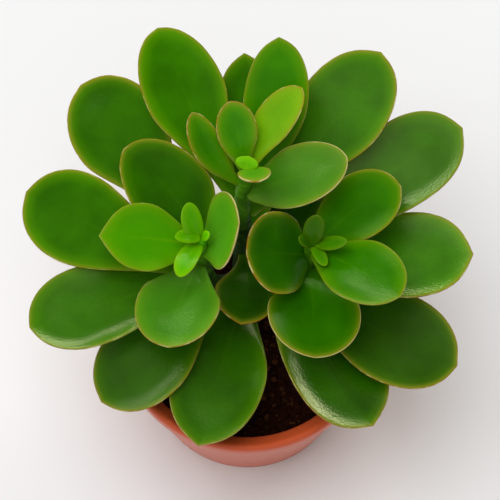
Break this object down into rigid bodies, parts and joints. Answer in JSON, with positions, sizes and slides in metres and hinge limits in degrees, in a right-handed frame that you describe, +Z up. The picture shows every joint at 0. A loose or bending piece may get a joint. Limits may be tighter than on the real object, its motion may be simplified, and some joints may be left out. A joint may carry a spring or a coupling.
{
  "type": "potted jade plant",
  "caption": "Young branching jade plant with thick rounded green leaves, growing in a small round tapered plastic pot of soil.",
  "frame": {"origin": "centre of the pot's flat base, on the ground", "axes": "+Z up, -Y towards the viewer, +X to the viewer's right"},
  "size_m": [0.1723, 0.1479, 0.1677],
  "materials": {
    "pot": "satin terracotta coloured",
    "soil": "rough, dark",
    "stem": "matt, corky below, green above",
    "leaf_mature": "waxy",
    "leaf_young": "waxy"
  },
  "bodies": {
    "root": {"pot": "pot", "soil": "soil", "stem": "stem", "leaf_01": "leaf_mature", "leaf_02": "leaf_mature", "leaf_03": "leaf_mature", "leaf_04": "leaf_mature", "leaf_05": "leaf_mature", "leaf_06": "leaf_mature", "leaf_07": "leaf_mature", "leaf_08": "leaf_mature", "leaf_09": "leaf_mature", "leaf_10": "leaf_mature", "leaf_11": "leaf_mature", "leaf_12": "leaf_mature", "leaf_13": "leaf_mature", "leaf_14": "leaf_mature", "leaf_15": "leaf_young", "leaf_16": "leaf_young", "leaf_17": "leaf_mature", "leaf_18": "leaf_mature", "leaf_19": "leaf_mature", "leaf_20": "leaf_young", "leaf_21": "leaf_mature", "leaf_22": "leaf_mature", "leaf_23": "leaf_mature", "leaf_24": "leaf_young", "leaf_25": "leaf_young", "leaf_26": "leaf_mature", "leaf_27": "leaf_mature", "leaf_28": "leaf_mature", "bud_left": "leaf_young", "bud_back": "leaf_young", "bud_right": "leaf_young"}
  },
  "joints": []
}
